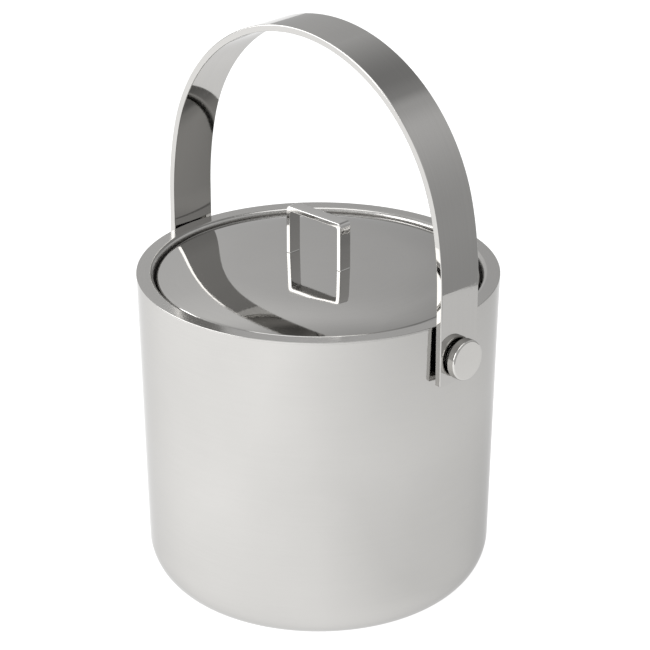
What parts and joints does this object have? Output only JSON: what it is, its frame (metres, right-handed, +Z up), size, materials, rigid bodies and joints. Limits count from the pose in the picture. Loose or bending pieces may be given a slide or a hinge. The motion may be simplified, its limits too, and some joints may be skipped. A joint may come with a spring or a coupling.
{
  "type": "ice bucket",
  "caption": "Round double-wall ice bucket with a flat-strap bail handle on side pivots and a lift-out, slightly domed lid with a small bar grip.",
  "frame": {"origin": "centre of the base, on the surface that the bucket stands on", "axes": "+Z up along the bucket's axis; the bail pivots about X, and the strap stands in the XZ plane at rest"},
  "size_m": [0.178, 0.16, 0.261],
  "materials": {
    "shell_steel": "polished",
    "liner_steel": "satin",
    "bail_steel": "polished",
    "lid_steel": "polished",
    "grip_steel": "polished",
    "knob_steel": "polished",
    "plain_steel": "satin",
    "foam": "matte",
    "black_rubber": "matte",
    "black_nylon": "matte"
  },
  "bodies": {
    "bucket": {"outer_shell": "shell_steel", "inner_liner": "liner_steel", "wall_insulation": "foam", "base_insulation": "foam", "base_pad": "black_rubber", "right_backing_plate": "plain_steel", "left_backing_plate": "plain_steel", "right_pivot_nut": "plain_steel", "left_pivot_nut": "plain_steel", "right_spacer_washer": "black_nylon", "left_spacer_washer": "black_nylon", "right_knob_washer": "plain_steel", "left_knob_washer": "plain_steel", "right_pivot_knob": "knob_steel", "left_pivot_knob": "knob_steel"},
    "bail": {"bail_strap": "bail_steel", "right_pivot_bush": "black_nylon", "left_pivot_bush": "black_nylon"},
    "lid_seal": {"lid_seal": "black_rubber"},
    "lid": {"lid_cover": "lid_steel", "lid_pan": "liner_steel", "lid_insulation": "foam", "lid_handle": "grip_steel", "lid_handle_washers": "plain_steel", "lid_handle_nuts": "plain_steel"}
  },
  "joints": [
    {"name": "bail_swing", "type": "hinge", "parent": "bucket", "child": "bail", "pos_m": [0, 0, 0.1325], "axis": [1, 0, 0], "range_deg": [-130, 130]},
    {"name": "lid_lift", "type": "slide", "parent": "bucket", "child": "lid_seal", "axis": [0, 0, 1], "range_m": [0, 0.05]},
    {"name": "lid_turn", "type": "hinge", "parent": "lid_seal", "child": "lid", "pos_m": [0, 0, 0.14], "axis": [0, 0, 1], "continuous": true}
  ]
}
